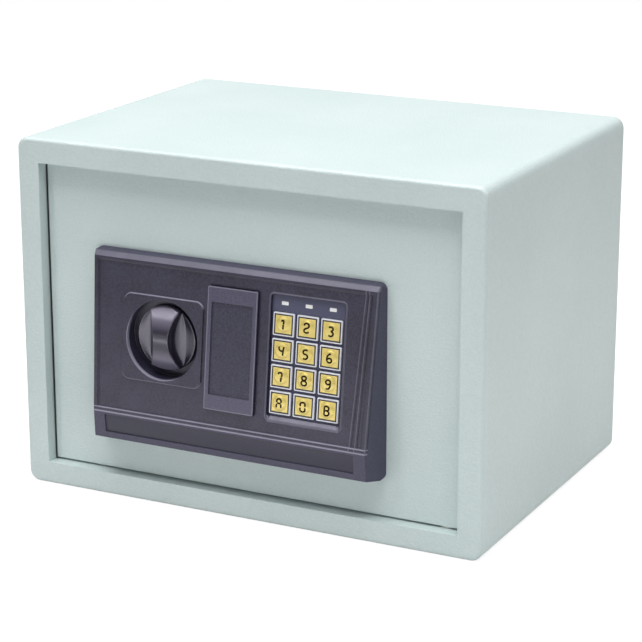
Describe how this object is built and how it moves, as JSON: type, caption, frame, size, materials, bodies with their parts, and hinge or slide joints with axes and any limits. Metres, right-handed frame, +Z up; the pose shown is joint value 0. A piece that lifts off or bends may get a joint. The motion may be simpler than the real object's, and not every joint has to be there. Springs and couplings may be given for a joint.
{
  "type": "safe deposit box",
  "caption": "Steel safe deposit box with a recessed swing door, tilted control panel, turning knob, numbered keypad, covered override lock and round side bolts.",
  "frame": {"origin": "middle of the underside of the cabinet, midway between the two floor anchor holes", "axes": "+X to the right seen from the front, +Y from the door to the back, +Z up"},
  "size_m": [0.35, 0.2622, 0.25],
  "materials": {
    "paint": "fine-textured satin powder coat",
    "moulding": "satin moulded, fine grain",
    "knob_black": "gloss",
    "key_gold": "satin print on plastic",
    "navy_plate": "satin print",
    "lens": "clear gloss",
    "rubber_mat": "matt",
    "board": "satin",
    "black_part": "matt",
    "nylon": "satin",
    "plain_steel": "satin",
    "zinc_steel": "zinc plated, satin",
    "brass_part": "machined",
    "copper_wire": "enamelled copper winding",
    "cell_jacket": "satin printed jacket",
    "felt_mat": "needled felt",
    "red_plastic": "gloss"
  },
  "bodies": {
    "cabinet": {"body_shell": "paint", "back_panel": "paint", "floor_mat": "felt_mat", "door_stops": "paint", "strike_angle": "paint", "hinge_bushes": "nylon"},
    "door": {"door_plate": "paint", "hinge_blocks": "plain_steel", "hinge_pins": "plain_steel", "panel_housing": "moulding", "panel_screws": "zinc_steel", "keypad_plate": "navy_plate", "led_lenses": "lens", "contact_mat": "rubber_mat", "circuit_board": "board", "board_screws": "zinc_steel", "buzzer": "black_part", "knob_bush": "nylon", "guide_studs": "zinc_steel", "bolt_guide": "plain_steel", "lock_barrel": "brass_part", "lock_nut": "zinc_steel", "solenoid_frame": "plain_steel", "solenoid_coil": "copper_wire", "plunger_spring": "plain_steel", "battery_box": "black_part", "battery_cells": "cell_jacket", "inner_cover": "paint", "cover_posts": "plain_steel", "cover_screws": "zinc_steel", "reset_switch": "black_part"},
    "knob": {"knob": "knob_black", "knob_shaft": "plain_steel", "knob_crank": "plain_steel"},
    "bolts": {"bolt_carriage": "zinc_steel", "locking_bolts": "plain_steel"},
    "override_plug": {"lock_plug": "brass_part", "release_cam": "zinc_steel", "cam_screw": "plain_steel"},
    "plunger": {"plunger": "plain_steel"},
    "lock_cover": {"lock_cover": "moulding"},
    "battery_lid": {"battery_lid": "black_part"},
    "reset_button": {"reset_button": "red_plastic"},
    "key_1": {"key_1": "key_gold"},
    "key_2": {"key_2": "key_gold"},
    "key_3": {"key_3": "key_gold"},
    "key_4": {"key_4": "key_gold"},
    "key_5": {"key_5": "key_gold"},
    "key_6": {"key_6": "key_gold"},
    "key_7": {"key_7": "key_gold"},
    "key_8": {"key_8": "key_gold"},
    "key_9": {"key_9": "key_gold"},
    "key_a": {"key_a": "key_gold"},
    "key_0": {"key_0": "key_gold"},
    "key_b": {"key_b": "key_gold"}
  },
  "joints": [
    {"name": "door_swing", "type": "hinge", "parent": "cabinet", "child": "door", "pos_m": [0.146, -0.109, 0.125], "axis": [0, 0, 1], "range_deg": [0, 100]},
    {"name": "knob_turn", "type": "hinge", "parent": "door", "child": "knob", "pos_m": [-0.059, -0.12, 0.12115], "axis": [0, -1, 0], "range_deg": [0, 60]},
    {"name": "bolt_slide", "type": "slide", "parent": "door", "child": "bolts", "axis": [-1, 0, 0], "range_m": [0, 0.014]},
    {"name": "override_turn", "type": "hinge", "parent": "door", "child": "override_plug", "pos_m": [-0.0054, -0.115, 0.12115], "axis": [0, 1, 0], "range_deg": [0, 90]},
    {"name": "plunger_lift", "type": "slide", "parent": "door", "child": "plunger", "axis": [0, 0, 1], "range_m": [0, 0.003], "stiffness_N_per_m": 60, "springref_m": -0.003, "deforming": ["plunger_spring"]},
    {"name": "lock_cover_pull", "type": "slide", "parent": "door", "child": "lock_cover", "axis": [0, -0.9935, 0.1141], "range_m": [0, 0.012]},
    {"name": "battery_lid_slide", "type": "slide", "parent": "door", "child": "battery_lid", "axis": [-1, 0, 0], "range_m": [0, 0.02]},
    {"name": "reset_press", "type": "slide", "parent": "door", "child": "reset_button", "axis": [0, -1, 0], "range_m": [0, 0.002], "stiffness_N_per_m": 200, "springref_m": -0.001},
    {"name": "key_1_press", "type": "slide", "parent": "door", "child": "key_1", "axis": [0, 0.9935, -0.1141], "range_m": [0, 0.0008], "stiffness_N_per_m": 300, "springref_m": -0.0005},
    {"name": "key_2_press", "type": "slide", "parent": "door", "child": "key_2", "axis": [0, 0.9935, -0.1141], "range_m": [0, 0.0008], "stiffness_N_per_m": 300, "springref_m": -0.0005},
    {"name": "key_3_press", "type": "slide", "parent": "door", "child": "key_3", "axis": [0, 0.9935, -0.1141], "range_m": [0, 0.0008], "stiffness_N_per_m": 300, "springref_m": -0.0005},
    {"name": "key_4_press", "type": "slide", "parent": "door", "child": "key_4", "axis": [0, 0.9935, -0.1141], "range_m": [0, 0.0008], "stiffness_N_per_m": 300, "springref_m": -0.0005},
    {"name": "key_5_press", "type": "slide", "parent": "door", "child": "key_5", "axis": [0, 0.9935, -0.1141], "range_m": [0, 0.0008], "stiffness_N_per_m": 300, "springref_m": -0.0005},
    {"name": "key_6_press", "type": "slide", "parent": "door", "child": "key_6", "axis": [0, 0.9935, -0.1141], "range_m": [0, 0.0008], "stiffness_N_per_m": 300, "springref_m": -0.0005},
    {"name": "key_7_press", "type": "slide", "parent": "door", "child": "key_7", "axis": [0, 0.9935, -0.1141], "range_m": [0, 0.0008], "stiffness_N_per_m": 300, "springref_m": -0.0005},
    {"name": "key_8_press", "type": "slide", "parent": "door", "child": "key_8", "axis": [0, 0.9935, -0.1141], "range_m": [0, 0.0008], "stiffness_N_per_m": 300, "springref_m": -0.0005},
    {"name": "key_9_press", "type": "slide", "parent": "door", "child": "key_9", "axis": [0, 0.9935, -0.1141], "range_m": [0, 0.0008], "stiffness_N_per_m": 300, "springref_m": -0.0005},
    {"name": "key_a_press", "type": "slide", "parent": "door", "child": "key_a", "axis": [0, 0.9935, -0.1141], "range_m": [0, 0.0008], "stiffness_N_per_m": 300, "springref_m": -0.0005},
    {"name": "key_0_press", "type": "slide", "parent": "door", "child": "key_0", "axis": [0, 0.9935, -0.1141], "range_m": [0, 0.0008], "stiffness_N_per_m": 300, "springref_m": -0.0005},
    {"name": "key_b_press", "type": "slide", "parent": "door", "child": "key_b", "axis": [0, 0.9935, -0.1141], "range_m": [0, 0.0008], "stiffness_N_per_m": 300, "springref_m": -0.0005}
  ],
  "couplings": [
    {"joint": "knob_turn", "follows": "bolt_slide", "rad_per_m": 74.8}
  ]
}
